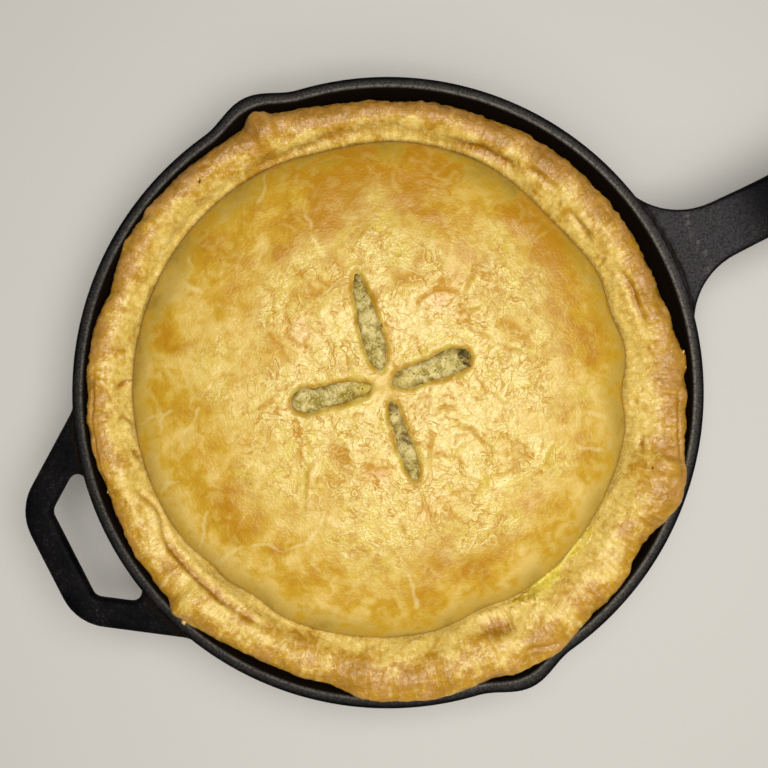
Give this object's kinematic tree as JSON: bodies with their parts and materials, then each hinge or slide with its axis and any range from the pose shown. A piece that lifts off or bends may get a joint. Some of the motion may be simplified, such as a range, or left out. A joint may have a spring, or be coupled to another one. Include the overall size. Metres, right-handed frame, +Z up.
{
  "type": "chicken pot pie in its skillet",
  "caption": "Round pot pie with a domed, vented pastry lid and a rolled rim, in the cast-iron skillet it was baked in, with a long handle and a helper handle.",
  "frame": {"origin": "centre of the skillet's flat underside", "axes": "+Z up, +X out along the long handle, the helper handle at -X, the two pour spouts at +Y and -Y"},
  "size_m": [0.475, 0.316, 0.073],
  "materials": {
    "cast_iron": "seasoned cast iron, slightly pebbled, satin",
    "filling": "thick cream sauce with herbs, moist",
    "crust": "egg-washed shortcrust, golden, glossy on the dome and satin on the rim"
  },
  "bodies": {
    "root": {"skillet": "cast_iron", "filling": "filling", "crust": "crust"}
  },
  "joints": []
}
